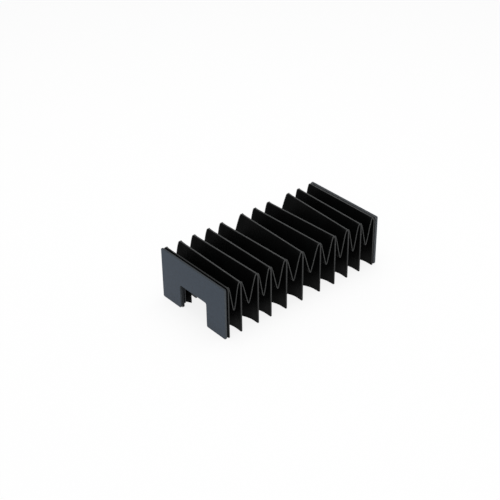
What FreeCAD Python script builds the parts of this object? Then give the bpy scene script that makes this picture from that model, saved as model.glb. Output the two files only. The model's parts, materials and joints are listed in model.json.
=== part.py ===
import FreeCAD, Part

import math
import os

import Sketcher

# Bellows way cover: an inverted U of folded, coated fabric that rides over a linear guide way.
# Eleven rigid portal frames stand in the ridges of the folds and keep the sheet in shape.
# A slate end plate at each end closes the cover, with a backing frame bonded behind it.
#
# Frame of the part: +X runs along the way, +Z is up, the end plates stand on Z = 0.
# X = 0 and Y = 0 are the middle of the cover as it stands at rest.
# Lengths are in millimetres.

FOLD_GAPS = 10

DRIVING_SIZES = [
    ("cover_width", 100.0, "width over the folds and the end plates"),
    ("cover_height", 58.0, "height from the feet to the ridges"),
    ("plate_thickness", 2.0, "end plate, along X"),
    ("plate_leg_width", 29.0, "each leg of an end plate, along Y"),
    ("plate_head_height", 30.0, "end plate above the way slot"),
    ("plate_corner_radius", 1.5, "outer corners of an end plate"),
    ("plate_slot_radius", 2.0, "corners of the way slot in an end plate"),
    ("plate_edge_break", 0.2, "chamfer round the outer face of an end plate"),
    ("backing_thickness", 2.1, "backing frame between end plate and first fold"),
    ("backing_inset", 1.6, "step from the end plate's edge in to the backing frame"),
    ("sheet_thickness", 0.35, "coated fabric"),
    ("fold_depth", 29.5, "ridge to valley, the same on the roof and on both legs"),
    ("valley_half_width", 0.25, "half of the flat that a fold has at its valley"),
    ("hug_depth", 9.0, "how far a leg panel lies flat on its frame before it spreads"),
    ("bend_length", 3.0, "tangent length of the curve where a leg panel spreads"),
    ("frame_thickness", 1.0, "support frame, along X"),
    ("frame_reach", 1.2, "how far a frame stands inside the folds, towards the way"),
    ("frame_foot_chamfer", 5.0, "inner corner at the foot of a frame leg"),
    ("frame_corner_radius", 2.3, "outer top corners of a frame"),
    ("pocket_gap", 0.1, "clearance between a frame and the ridge that holds it"),
    ("foot_gap", 0.3, "fabric and frames end this far above the plates' feet"),
    ("fold_gap_01", 16.8, "ridge to ridge, middle of the cover, front end first"),
    ("fold_gap_02", 19.5, ""),
    ("fold_gap_03", 17.8, ""),
    ("fold_gap_04", 18.8, ""),
    ("fold_gap_05", 24.5, ""),
    ("fold_gap_06", 21.0, ""),
    ("fold_gap_07", 19.7, ""),
    ("fold_gap_08", 23.5, ""),
    ("fold_gap_09", 16.5, ""),
    ("fold_gap_10", 18.1, ""),
    ("lean_01", 2.0, "how much further along X the +Y end of a ridge stands"),
    ("lean_02", -2.0, ""),
    ("lean_03", 0.2, ""),
    ("lean_04", -3.0, ""),
    ("lean_05", 2.8, ""),
    ("lean_06", -3.4, ""),
    ("lean_07", -5.0, ""),
    ("lean_08", 4.8, ""),
    ("lean_09", 1.8, ""),
]

doc = FreeCAD.newDocument("bellows_way_cover")
sheet = doc.addObject("Spreadsheet::Sheet", "Sizes")
for row, (alias, value, note) in enumerate(DRIVING_SIZES, start=1):
    sheet.set("A%d" % row, alias)
    sheet.set("B%d" % row, repr(value))
    sheet.set("C%d" % row, note)
    sheet.setAlias("B%d" % row, alias)
doc.recompute()


def size(alias):
    """A driving size, as a number, for the shapes that are worked out in this file."""
    return float(sheet.get(alias))


def gap_alias(number):
    return "fold_gap_%02d" % number


def lean_alias(number):
    return "lean_%02d" % number


# Stations along X, as expressions on the sheet.
# Half of what lies between the outer faces of the end plates is the way from X = 0 to either face.

END_STACK = "Sizes.plate_thickness + Sizes.backing_thickness"
POCKET_HALF = "Sizes.frame_thickness / 2 + Sizes.pocket_gap + Sizes.sheet_thickness"
ALL_GAPS = " + ".join("Sizes." + gap_alias(number) for number in range(1, FOLD_GAPS + 1))
HALF_LENGTH = "(%s) / 2 + %s + %s + Sizes.pocket_gap / 2" % (ALL_GAPS, END_STACK, POCKET_HALF)


def ridge_station(ridge):
    """Expression for the X of a ridge's middle: ridge 0 is the one behind the front end plate."""
    parts = ["-(%s)" % HALF_LENGTH, END_STACK, POCKET_HALF]
    parts += ["Sizes." + gap_alias(number) for number in range(1, ridge + 1)]
    return " + ".join(parts)


def ridge_turn(ridge):
    """Expression for the turn about Z that a leaning ridge gives to its frame."""
    if ridge in (0, FOLD_GAPS):
        return "0 deg"
    return "-atan(Sizes.%s / Sizes.cover_width)" % lean_alias(ridge)


# Sketched portals. End plates, backing frames and support frames are all cut from flat board
# as an inverted U, so they share one sketch: an outer rectangle open at the bottom for the way.

def portal_sketch(body, width, top, slot_width, slot_top, foot):
    """The U outline on the body's YZ plane, every size bound to an expression."""
    plane = [item for item in body.Origin.OriginFeatures if item.Role == "YZ_Plane"][0]
    sketch = body.newObject("Sketcher::SketchObject", body.Name + "_outline")
    sketch.AttachmentSupport = [(plane, "")]
    sketch.MapMode = "FlatFace"
    corners = [(-50, 0), (-50, 58), (50, 58), (50, 0), (20, 0), (20, 28), (-20, 28), (-20, 0)]
    count = len(corners)
    for index in range(count):
        start = FreeCAD.Vector(*corners[index], 0)
        end = FreeCAD.Vector(*corners[(index + 1) % count], 0)
        sketch.addGeometry(Part.LineSegment(start, end), False)
    for index in range(count):
        sketch.addConstraint(Sketcher.Constraint("Coincident", index, 2, (index + 1) % count, 1))
    for index in (0, 2, 4, 6):
        sketch.addConstraint(Sketcher.Constraint("Vertical", index))
    for index in (3, 7):
        sketch.addConstraint(Sketcher.Constraint("Horizontal", index))
    sketch.addConstraint(Sketcher.Constraint("Symmetric", 1, 1, 1, 2, -2))
    sketch.addConstraint(Sketcher.Constraint("Symmetric", 5, 1, 5, 2, -2))
    sketch.addConstraint(Sketcher.Constraint("Equal", 0, 2))
    bound = [
        ("width", Sketcher.Constraint("DistanceX", 1, 1, 1, 2, 100.0), width),
        ("top", Sketcher.Constraint("DistanceY", -1, 1, 1, 1, 58.0), top),
        ("foot", Sketcher.Constraint("DistanceY", 0, 1, 0, 2, 58.0), "%s - (%s)" % (top, foot)),
        ("slot_width", Sketcher.Constraint("DistanceX", 5, 2, 5, 1, 40.0), slot_width),
        ("slot_top", Sketcher.Constraint("DistanceY", -1, 1, 5, 1, 28.0), slot_top),
    ]
    for name, constraint, expression in bound:
        index = sketch.addConstraint(constraint)
        sketch.renameConstraint(index, name)
        sketch.setExpression("Constraints." + name, expression)
    return sketch


def edges_along_x(feature, wanted):
    """Names of the edges that run along X and whose (y, z) the test accepts."""
    names = []
    for number, edge in enumerate(feature.Shape.Edges, start=1):
        ends = [vertex.Point for vertex in edge.Vertexes]
        if len(ends) != 2:
            continue
        runs_along_x = abs(ends[0].y - ends[1].y) < 1e-6 and abs(ends[0].z - ends[1].z) < 1e-6
        if runs_along_x and wanted(abs(ends[0].y), ends[0].z):
            names.append("Edge%d" % number)
    return names


def portal_body(name, thickness, outline, x_expression, turn="0 deg"):
    """A flat portal: a symmetric pad of the U outline, set at its station along X."""
    body = doc.addObject("PartDesign::Body", name)
    body.Label = name
    sketch = portal_sketch(body, *outline)
    pad = body.newObject("PartDesign::Pad", name + "_board")
    pad.Profile = sketch
    pad.SideType = "Symmetric"
    pad.setExpression("Length", thickness)
    body.setExpression(
        "Placement",
        "placement(vector(%s; 0 mm; 0 mm); rotation(vector(0; 0; 1); %s))" % (x_expression, turn),
    )
    doc.recompute()
    return body, pad


def round_edges(body, name, kind, feature, edges, property_name, expression):
    """A fillet or chamfer on the named edges of the last feature."""
    dressed = body.newObject(kind, name)
    dressed.Base = (feature, edges)
    dressed.setExpression(property_name, expression)
    body.Tip = dressed
    doc.recompute()
    return dressed


# End plates: slate board, both the same, the front one at the low end of X.

PLATE_OUTLINE = (
    "Sizes.cover_width",
    "Sizes.cover_height",
    "Sizes.cover_width - 2 * Sizes.plate_leg_width",
    "Sizes.cover_height - Sizes.plate_head_height",
    "0",
)


def end_plate(name, side):
    """One end plate. side is -1 at the front end and +1 at the rear end."""
    station = "%d * (%s - Sizes.plate_thickness / 2)" % (side, HALF_LENGTH)
    body, pad = portal_body(name, "Sizes.plate_thickness", PLATE_OUTLINE, station)
    middle_of_leg = size("cover_width") / 2 - size("plate_leg_width") / 2
    outer = edges_along_x(pad, lambda y, z: y > middle_of_leg)
    rounded = round_edges(
        body, name + "_corners", "PartDesign::Fillet", pad, outer,
        "Radius", "Sizes.plate_corner_radius")
    slot = edges_along_x(rounded, lambda y, z: y < middle_of_leg)
    opened = round_edges(
        body, name + "_slot_corners", "PartDesign::Fillet", rounded, slot,
        "Radius", "Sizes.plate_slot_radius")
    outer_faces = []
    for number, face in enumerate(opened.Shape.Faces, start=1):
        if face.normalAt(0, 0).x * side > 0.999:
            outer_faces.append("Face%d" % number)
    round_edges(
        body, name + "_edge_break", "PartDesign::Chamfer", opened, outer_faces,
        "Size", "Sizes.plate_edge_break")
    return body


front_end_plate = end_plate("front_end_plate", -1)
rear_end_plate = end_plate("rear_end_plate", 1)


# Backing frames: the black board between an end plate and the flange of the folded sheet.

BACKING_OUTLINE = (
    "Sizes.cover_width - 2 * Sizes.backing_inset",
    "Sizes.cover_height - Sizes.backing_inset",
    "Sizes.cover_width - 2 * Sizes.fold_depth",
    "Sizes.cover_height - Sizes.fold_depth",
    "Sizes.foot_gap",
)


def backing_frame(name, side):
    station = "%d * (%s - Sizes.plate_thickness - Sizes.backing_thickness / 2)" % (side, HALF_LENGTH)
    body, pad = portal_body(name, "Sizes.backing_thickness", BACKING_OUTLINE, station)
    middle_of_leg = size("cover_width") / 2 - size("fold_depth") / 2
    middle_of_height = size("cover_height") / 2
    top = edges_along_x(pad, lambda y, z: y > middle_of_leg and z > middle_of_height)
    round_edges(
        body, name + "_corners", "PartDesign::Fillet", pad, top,
        "Radius", "Sizes.plate_corner_radius")
    return body


front_backing_frame = backing_frame("front_backing_frame", -1)
rear_backing_frame = backing_frame("rear_backing_frame", 1)


# Support frames: thin rigid portals, one in the pocket of each ridge. Their slot is a little
# narrower than the folds, so that the frames and not the fabric meet the way.

FRAME_INSET = "Sizes.sheet_thickness + Sizes.pocket_gap"
FRAME_OUTLINE = (
    "Sizes.cover_width - 2 * (%s)" % FRAME_INSET,
    "Sizes.cover_height - (%s)" % FRAME_INSET,
    "Sizes.cover_width - 2 * (Sizes.fold_depth + Sizes.frame_reach)",
    "Sizes.cover_height - Sizes.fold_depth - Sizes.frame_reach",
    "Sizes.foot_gap",
)


def support_frame(ridge):
    name = "support_frame_%02d" % ridge
    body, pad = portal_body(
        name, "Sizes.frame_thickness", FRAME_OUTLINE, ridge_station(ridge), ridge_turn(ridge))
    middle_of_leg = size("cover_width") / 2 - size("fold_depth") / 2
    middle_of_slot = (size("cover_height") - size("fold_depth")) / 2
    top = edges_along_x(pad, lambda y, z: y > middle_of_leg and z > middle_of_slot)
    rounded = round_edges(
        body, name + "_corners", "PartDesign::Fillet", pad, top,
        "Radius", "Sizes.frame_corner_radius")
    feet = edges_along_x(rounded, lambda y, z: y < middle_of_leg and z < middle_of_slot)
    round_edges(
        body, name + "_feet", "PartDesign::Chamfer", rounded, feet,
        "Size", "Sizes.frame_foot_chamfer")
    return body


support_frames = [support_frame(ridge) for ridge in range(FOLD_GAPS + 1)]


# The folded sheet. Its ridges hold the frames and its valleys run towards the way. Every ridge
# and valley is a straight line across the cover, given by its middle and its lean. The roof is
# one zigzag swept across the whole width. Each leg is a zigzag of the same folds, turned
# upright, that runs up until it meets the underside of the roof. What is left of the roof
# outside a leg is tucked back under it as a second layer: that is the V on the cover's flanks.

class Crease:
    """A ridge or valley line: where it crosses the middle of the cover, and its lean."""

    def __init__(self, middle, lean):
        self.middle = middle
        self.lean = lean

    def x_at(self, y):
        return self.middle + self.lean * y / size("cover_width")


def ridge_creases():
    end_stack = size("plate_thickness") + size("backing_thickness")
    pocket_half = size("frame_thickness") / 2 + size("pocket_gap") + size("sheet_thickness")
    gaps = [size(gap_alias(number)) for number in range(1, FOLD_GAPS + 1)]
    half_length = sum(gaps) / 2 + end_stack + pocket_half + size("pocket_gap") / 2
    creases = [Crease(-half_length + end_stack + pocket_half, 0.0)]
    for number, gap in enumerate(gaps, start=1):
        lean = size(lean_alias(number)) if number < FOLD_GAPS else 0.0
        creases.append(Crease(creases[-1].middle + gap, lean))
    return creases


def between(first, second):
    return Crease((first.middle + second.middle) / 2, (first.lean + second.lean) / 2)


RIDGES = ridge_creases()
VALLEYS = [between(RIDGES[index], RIDGES[index + 1]) for index in range(FOLD_GAPS)]

SHEET = size("sheet_thickness")
POCKET = size("frame_thickness") / 2 + size("pocket_gap")
DEPTH = size("fold_depth")
VALLEY = size("valley_half_width")


def face_line(share, knee=None, extra=0.0, flange=True):
    """One face of the sheet as (crease, offset along X, depth, is a bend) from front to rear.

    share is 0 on the outer face of the sheet and 1 on its inner face. knee is the depth down to
    which a panel stays flat on its frame, and extra moves the valley end of the face inwards.
    """
    crest = POCKET + SHEET * (1 - share)
    flat = VALLEY + SHEET * share + extra
    top = SHEET * share
    bottom = DEPTH - SHEET * (1 - share)
    line = []
    if flange:
        line.append((RIDGES[0], -crest, DEPTH, False))
    for index, ridge in enumerate(RIDGES):
        if index > 0:
            valley = VALLEYS[index - 1]
            line.append((valley, flat, bottom, False))
            if knee is not None:
                line.append((ridge, -crest, knee, True))
        if index > 0 or flange:
            line.append((ridge, -crest, top, False))
        if index < FOLD_GAPS or flange:
            line.append((ridge, crest, top, False))
        if index < FOLD_GAPS:
            if knee is not None:
                line.append((ridge, crest, knee, True))
            line.append((VALLEYS[index], -flat, bottom, False))
    if flange:
        line.append((RIDGES[-1], crest, DEPTH, False))
    return line


def edges_through(points):
    """Lines through the points, with an arc of the named tangent length at each bend."""
    reach = size("bend_length")
    path = []
    for index, (point, bend) in enumerate(points):
        if not bend:
            path.append((point, None))
            continue
        back = (points[index - 1][0] - point).normalize()
        ahead = (points[index + 1][0] - point).normalize()
        start = point + back * reach
        end = point + ahead * reach
        half_turn = (math.pi - back.getAngle(ahead)) / 2
        middle = point + ((start + end) / 2 - point) / (1 + math.cos(half_turn))
        path.append((start, middle))
        path.append((end, None))
    edges = []
    for index, (point, middle) in enumerate(path):
        following = path[(index + 1) % len(path)][0]
        if middle is None:
            edges.append(Part.LineSegment(point, following).toShape())
        else:
            edges.append(Part.Arc(point, middle, following).toShape())
    return edges


def closed_loop(outer, inner, place):
    """The wire round a sheet section: out along one face and back along the other."""
    vertices = [(place(*vertex[:3]), vertex[3]) for vertex in outer + inner[::-1]]
    return Part.Wire(edges_through(vertices))


def roof_place(y):
    top = size("cover_height")
    return lambda crease, offset, depth: FreeCAD.Vector(crease.x_at(y) + offset, y, top - depth)


def leg_place(side):
    half = size("cover_width") / 2

    def place(crease, offset, depth):
        y = side * (half - depth)
        return FreeCAD.Vector(crease.x_at(y) + offset, y, size("foot_gap"))

    return place


def across(outer, inner):
    """A solid swept over the cover's width between the two faces of a roof section."""
    half = size("cover_width") / 2
    ends = [closed_loop(outer, inner, roof_place(y)) for y in (-half, half)]
    return Part.makeLoft(ends, True, True)


def under_roof():
    """Everything below the middle of the roof sheet: what a leg may fill."""
    middle = face_line(0.5, flange=False)
    first = RIDGES[0]
    last = RIDGES[-1]
    margin = 2 * POCKET + 2 * SHEET
    below = size("cover_height") + 1.0
    head = [(first, -margin, SHEET / 2, False)]
    tail = [(last, margin, SHEET / 2, False)]
    floor = [(first, -margin, below, False), (last, margin, below, False)]
    return across(head + middle + tail, floor)


def leg(side, envelope):
    knee = size("hug_depth")
    loop = closed_loop(face_line(0.0, knee), face_line(1.0, knee), leg_place(side))
    height = size("cover_height") - size("foot_gap")
    upright = Part.Face(loop).extrude(FreeCAD.Vector(0, 0, height))
    return upright.common(envelope)


def tucked_layer(side):
    """The second layer of sheet under the roof, outside the crease where a leg begins."""
    outer = face_line(0.3, flange=False)
    inner = face_line(1.0, extra=SHEET, flange=False)
    half = size("cover_width") / 2
    top = size("cover_height")
    inner_edge = half - DEPTH
    corner = [
        (half + 1, top + 1),
        (half - size("hug_depth"), top + 1),
        (half - size("hug_depth"), top),
        (inner_edge, top - DEPTH),
        (inner_edge, top - DEPTH - 1),
        (half + 1, top - DEPTH - 1),
    ]
    first = RIDGES[0].middle
    points = [FreeCAD.Vector(first, side * y, z) for y, z in corner]
    outline = Part.Face(Part.makePolygon(points + points[:1]))
    wedge = outline.extrude(FreeCAD.Vector(RIDGES[-1].middle - first, 0, 0))
    return across(outer, inner).common(wedge)


def folded_sheet():
    roof = across(face_line(0.0), face_line(1.0))
    envelope = under_roof()
    pieces = [leg(side, envelope) for side in (-1, 1)]
    pieces += [tucked_layer(side) for side in (-1, 1)]
    return roof.fuse(pieces).removeSplitter()


bellows_skin = doc.addObject("Part::Feature", "bellows_skin")
bellows_skin.Label = "bellows_skin"
bellows_skin.Shape = folded_sheet()
bellows_skin.Placement = FreeCAD.Placement()

doc.recompute()


# Checks, then one file for each piece.

sub_parts = [front_end_plate, rear_end_plate, front_backing_frame, rear_backing_frame]
sub_parts += support_frames
sub_parts.append(bellows_skin)

for item in doc.Objects:
    if "Invalid" in item.State or "Error" in item.State:
        raise RuntimeError("%s did not compute: %s" % (item.Name, item.State))

os.makedirs("parts", exist_ok=True)
for item in sub_parts:
    shape = item.Shape
    if shape.isNull() or not shape.isValid():
        raise RuntimeError("%s has no valid shape" % item.Label)
    if len(shape.Solids) != 1:
        raise RuntimeError("%s is %d solids, not one" % (item.Label, len(shape.Solids)))
    shape.exportStep(os.path.join("parts", item.Label + ".step"))
    print("%-22s volume %9.1f mm3" % (item.Label, shape.Volume))
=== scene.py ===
# %% [markdown]
# # Bellows way cover
#
# This cover is an inverted U of black coated cloth, folded like an accordion. It opens and
# shuts along a machine and keeps chips and dust off what runs under it. Thin frames stand in
# its ridges, and a slate board closes each end. The rigid boards come finished from the CAD
# model, so this lesson keeps them and gives them their surface. The cloth is made here, fold by
# fold, because cloth has a thickness, soft edges and pale creases that the CAD solid leaves out.

import json
import math

import bpy
import numpy as np
from mathutils import Matrix, Vector

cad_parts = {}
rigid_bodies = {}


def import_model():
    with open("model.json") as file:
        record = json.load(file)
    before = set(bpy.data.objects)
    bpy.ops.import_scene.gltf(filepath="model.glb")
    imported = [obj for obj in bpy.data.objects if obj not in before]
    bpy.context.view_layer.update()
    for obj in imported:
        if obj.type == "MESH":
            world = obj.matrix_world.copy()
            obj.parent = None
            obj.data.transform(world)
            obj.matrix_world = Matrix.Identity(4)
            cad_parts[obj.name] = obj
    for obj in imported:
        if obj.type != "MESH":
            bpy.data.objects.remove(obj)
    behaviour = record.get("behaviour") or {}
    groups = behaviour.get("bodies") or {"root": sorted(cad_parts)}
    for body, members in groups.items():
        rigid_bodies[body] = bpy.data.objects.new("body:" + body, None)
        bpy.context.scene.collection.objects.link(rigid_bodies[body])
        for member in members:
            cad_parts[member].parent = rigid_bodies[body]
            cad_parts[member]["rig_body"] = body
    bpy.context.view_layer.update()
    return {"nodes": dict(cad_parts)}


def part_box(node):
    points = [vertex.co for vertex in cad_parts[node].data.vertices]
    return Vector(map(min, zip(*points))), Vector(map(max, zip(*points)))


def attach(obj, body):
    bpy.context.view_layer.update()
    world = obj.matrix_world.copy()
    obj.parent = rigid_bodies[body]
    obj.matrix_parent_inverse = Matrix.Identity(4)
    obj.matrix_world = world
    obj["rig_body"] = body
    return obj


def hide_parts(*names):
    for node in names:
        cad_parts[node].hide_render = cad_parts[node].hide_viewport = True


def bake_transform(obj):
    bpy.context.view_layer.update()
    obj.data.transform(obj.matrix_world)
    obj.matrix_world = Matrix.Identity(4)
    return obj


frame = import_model()
MM = 0.001

# %% [markdown]
# ## Camera
#
# The picture looks down on the cover from its front left corner, from a little over a metre
# away. Blender could be given a focal length by eye and nudged until it fits. Here the place,
# the turn and the lens were worked out together, from where the ridges' ends fall in the
# picture. So the camera is written as those numbers and needs no nudging.

# %% Camera
PICTURE_SIDE = 500
FOCAL_LENGTH_PX = 1162.4
CAMERA_PLACE = Vector((-0.6642, -0.7583, 0.6808))
CAMERA_AZIMUTH = math.radians(-39.957)
CAMERA_ELEVATION = math.radians(32.593)
CAMERA_ROLL = math.radians(-0.684)
SENSOR_WIDTH_MM = 36


def in_scene(name, data):
    """An object with this data, linked to the scene."""
    thing = bpy.data.objects.new(name, data)
    bpy.context.scene.collection.objects.link(thing)
    return thing


back = Vector((
    math.sin(CAMERA_AZIMUTH) * math.cos(CAMERA_ELEVATION),
    -math.cos(CAMERA_AZIMUTH) * math.cos(CAMERA_ELEVATION),
    math.sin(CAMERA_ELEVATION),
))
level_right = (-back).cross(Vector((0, 0, 1))).normalized()
level_up = level_right.cross(-back)
right = math.cos(CAMERA_ROLL) * level_right + math.sin(CAMERA_ROLL) * level_up
up = math.cos(CAMERA_ROLL) * level_up - math.sin(CAMERA_ROLL) * level_right

camera_data = bpy.data.cameras.new("camera")
camera_data.sensor_width = SENSOR_WIDTH_MM
camera_data.lens = FOCAL_LENGTH_PX * SENSOR_WIDTH_MM / PICTURE_SIDE
camera = in_scene("camera", camera_data)
camera_turn = Matrix((right, up, back)).transposed().to_4x4()
camera.matrix_world = Matrix.Translation(CAMERA_PLACE) @ camera_turn
bpy.context.scene.camera = camera
bpy.context.scene.view_settings.view_transform = "Standard"
print("lens in mm:", round(camera_data.lens, 2))

# %% [markdown]
# ## Helpers for node trees
#
# Every finish and every repeated shape below is a node tree. Wiring nodes one by one soon hides
# what a tree does, so one small function adds a node, sets it and links it. Colours are written
# as hex values, as a paint card gives them, and turned to the linear values of a shader.

# %% Helpers for node trees
def add(tree, kind, inputs=(), **settings):
    """Adds a node. inputs maps a socket's name or number to a value or another node's socket."""
    node = tree.nodes.new(kind)
    for name, value in settings.items():
        setattr(node, name, value)
    for name, value in dict(inputs).items():
        if isinstance(value, bpy.types.NodeSocket):
            tree.links.new(value, node.inputs[name])
        else:
            node.inputs[name].default_value = value
    return node


def linear(hex_colour):
    """An sRGB hex colour as linear RGBA."""
    parts = [int(hex_colour[place:place + 2], 16) / 255 for place in (1, 3, 5)]
    return [c / 12.92 if c <= 0.04045 else ((c + 0.055) / 1.055) ** 2.4 for c in parts] + [1.0]


def new_finish(name):
    """A new material, its tree and its shader."""
    material = bpy.data.materials.new(name)
    material.use_nodes = True
    tree = material.node_tree
    return material, tree, tree.nodes["Principled BSDF"]


print("a mid grey of #808080 is", round(linear("#808080")[0], 3), "in linear light")

# %% [markdown]
# ## Coated cloth
#
# The bellows are polyester cloth with a black polyurethane coat, which looks like thin, matt
# leather. It drinks almost all light. What shows is a faint mottle where the coat is thicker
# over the threads, and a soft sheen at a low angle. An image of cloth could be laid on, but it
# would repeat. Here a noise of about a millimetre gives the mottle, a wider one the darker and
# paler clouds, and two crossed waves the threads. They stand 0.6 mm apart, as in a coarse
# cloth, because finer ones would not show even from close by.

# %% Coated cloth
MOTTLE_MM = 1.3
CLOUD_MM = 14.0
THREAD_MM = 0.6
THREAD_SHARE = 0.25         # height of the threads against that of the mottle
RELIEF = 0.1 * MM           # full height of a bump, here and in the finishes below
WAVE_ANGLE_PER_UNIT = 20    # a wave texture of scale 1 turns by 20 radians for each unit


def coated_cloth():
    material, tree, shader = new_finish("black_coated_polyester")
    shader.inputs["Specular IOR Level"].default_value = 0.04
    shader.inputs["IOR"].default_value = 1.5
    place = add(tree, "ShaderNodeTexCoord").outputs["Object"]
    mottle = add(tree, "ShaderNodeTexNoise", {
        "Vector": place, "Scale": 1 / (MOTTLE_MM * MM), "Detail": 3.0, "Roughness": 0.6})
    cloud = add(tree, "ShaderNodeTexNoise", {
        "Vector": place, "Scale": 1 / (CLOUD_MM * MM), "Detail": 2.0})
    both = add(tree, "ShaderNodeMath", {0: mottle.outputs["Fac"], 1: cloud.outputs["Fac"]},
               operation="MULTIPLY")
    tone = add(tree, "ShaderNodeMapRange", {
        "Value": both.outputs[0], "From Min": 0.1, "From Max": 0.4})
    colour = add(tree, "ShaderNodeMix", {
        0: tone.outputs["Result"], 6: linear("#020202"), 7: linear("#070808")}, data_type="RGBA")
    tree.links.new(colour.outputs[2], shader.inputs["Base Color"])
    gloss = add(tree, "ShaderNodeMapRange", {
        "Value": mottle.outputs["Fac"], "From Min": 0.3, "From Max": 0.7,
        "To Min": 0.52, "To Max": 0.4})
    tree.links.new(gloss.outputs["Result"], shader.inputs["Roughness"])
    threads = []
    for direction in ("Y", "Z"):
        threads.append(add(tree, "ShaderNodeTexWave", {
            "Vector": place, "Scale": 2 * math.pi / (WAVE_ANGLE_PER_UNIT * THREAD_MM * MM),
            "Distortion": 0.6, "Detail": 1.0}, bands_direction=direction).outputs["Fac"])
    weave = add(tree, "ShaderNodeMath", {0: threads[0], 1: threads[1]}, operation="ADD")
    raised = add(tree, "ShaderNodeMath", {
        0: weave.outputs[0], 1: THREAD_SHARE, 2: mottle.outputs["Fac"]},
        operation="MULTIPLY_ADD")
    bump = add(tree, "ShaderNodeBump", {
        "Height": raised.outputs[0], "Strength": 0.25, "Distance": RELIEF})
    tree.links.new(bump.outputs["Normal"], shader.inputs["Normal"])
    return material


CLOTH_FINISH = coated_cloth()
print(CLOTH_FINISH.name, "has", len(CLOTH_FINISH.node_tree.nodes), "nodes")

# %% [markdown]
# ## Creases
#
# Where the cloth is folded hard, the coat is stretched thin and turns grey, and the round of
# the fold catches the light. On the real cover these pale lines are nearly all that the eye
# sees: one along every ridge and a V on the flank of every fold. The crease is the same coat in
# another state, so it is a finish of its own, a few steps paler; that paleness is partly worn
# coat and partly a painted highlight. A fine noise chips it where the coat has cracked. It is
# painted darker towards the feet, as painted shade.
#
# One recipe gives three finishes. On a ridge only the crest is pale, and the normal tells the
# crest from the channel's black sides. The first ridge stands right behind the end plate, and
# its top is painted dark there, as painted shade, so only its corners and legs are pale. The
# turned edges that draw the Vs are pale all round and a little paler.

# %% Creases
CHIP_MM = 1.1
WEAR_MM = 16.0
CREASE_SHADE_TOP = 34 * MM      # below it the crease is painted darker, as painted shade
PLATE_SHADE_FADES = 44 * MM         # how far from the middle the painted shade behind the end plate reaches
PLATE_SHADE_ENDS = 49 * MM


def worn_and_highlit_coat(name, least, most, crest_only, plate_shaded_roof=False):
    """A crease, partly worn coat and partly a painted highlight, whose colour wanders from least
    to most. crest_only keeps it off steep sides.
    """
    material, tree, shader = new_finish(name)
    shader.inputs["Specular IOR Level"].default_value = 0.15
    shader.inputs["Roughness"].default_value = 0.55
    where = add(tree, "ShaderNodeTexCoord")
    place = where.outputs["Object"]
    chips = add(tree, "ShaderNodeTexNoise", {
        "Vector": place, "Scale": 1 / (CHIP_MM * MM), "Detail": 2.0})
    wear = add(tree, "ShaderNodeTexNoise", {
        "Vector": place, "Scale": 1 / (WEAR_MM * MM), "Detail": 1.0})
    # The crease colour: partly worn coat, partly a painted highlight.
    worn_and_highlit = add(tree, "ShaderNodeMix", {
        0: wear.outputs["Fac"], 6: linear(least), 7: linear(most)}, data_type="RGBA")
    cracked = add(tree, "ShaderNodeMapRange", {
        "Value": chips.outputs["Fac"], "From Min": 0.66, "From Max": 0.76})
    chipped = add(tree, "ShaderNodeMix", {
        0: cracked.outputs["Result"], 6: worn_and_highlit.outputs[2], 7: linear("#7C7C7A")},
        data_type="RGBA")
    # Painted shade: the crease is darker towards the feet, down to 0.4 of its colour.
    spot = add(tree, "ShaderNodeSeparateXYZ", {0: place})
    share = add(tree, "ShaderNodeMapRange", {
        "Value": spot.outputs["Z"], "From Min": 0.0, "From Max": CREASE_SHADE_TOP,
        "To Min": 0.4, "To Max": 1.0}).outputs["Result"]
    if crest_only:
        facing = add(tree, "ShaderNodeSeparateXYZ", {0: where.outputs["Normal"]})
        aside = add(tree, "ShaderNodeMath", {0: facing.outputs["X"]}, operation="ABSOLUTE")
        on_crest = add(tree, "ShaderNodeMapRange", {
            "Value": aside.outputs[0], "From Min": 0.4, "From Max": 0.75,
            "To Min": 1.0, "To Max": 0.0})
        share = add(tree, "ShaderNodeMath", {0: on_crest.outputs["Result"], 1: share},
                    operation="MULTIPLY").outputs[0]
    # Painted shade: the first ridge's top is darkened behind the end plate, all but its ends.
    if plate_shaded_roof:
        from_middle = add(tree, "ShaderNodeMath", {0: spot.outputs["Y"]}, operation="ABSOLUTE")
        at_flank = add(tree, "ShaderNodeMapRange", {
            "Value": from_middle.outputs[0], "From Min": PLATE_SHADE_FADES, "From Max": PLATE_SHADE_ENDS,
            "To Min": 0.12, "To Max": 1.0})
        share = add(tree, "ShaderNodeMath", {0: at_flank.outputs["Result"], 1: share},
                    operation="MULTIPLY").outputs[0]
    colour = add(tree, "ShaderNodeMix", {
        0: share, 6: linear("#070808"), 7: chipped.outputs[2]}, data_type="RGBA")
    tree.links.new(colour.outputs[2], shader.inputs["Base Color"])
    bump = add(tree, "ShaderNodeBump", {
        "Height": chips.outputs["Fac"], "Strength": 0.3, "Distance": RELIEF})
    tree.links.new(bump.outputs["Normal"], shader.inputs["Normal"])
    return material


# These pale colours are partly worn coat and partly a painted highlight.
CREST_FINISH = worn_and_highlit_coat("creased_and_highlit_polyurethane_coat", "#333434", "#3E3F3F", crest_only=True)
# The first ridge's finish, with painted shade on its top behind the end plate.
PLATE_SHADED_FINISH = worn_and_highlit_coat("plate_shaded_polyurethane_coat", "#333434", "#3E3F3F",
                             crest_only=True, plate_shaded_roof=True)
EDGE_FINISH = worn_and_highlit_coat("turned_and_highlit_polyurethane_edge", "#3B3C3C", "#494A49", crest_only=False)
for finish in (CREST_FINISH, PLATE_SHADED_FINISH, EDGE_FINISH):
    print(finish.name, "has", len(finish.node_tree.nodes), "nodes")

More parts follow.
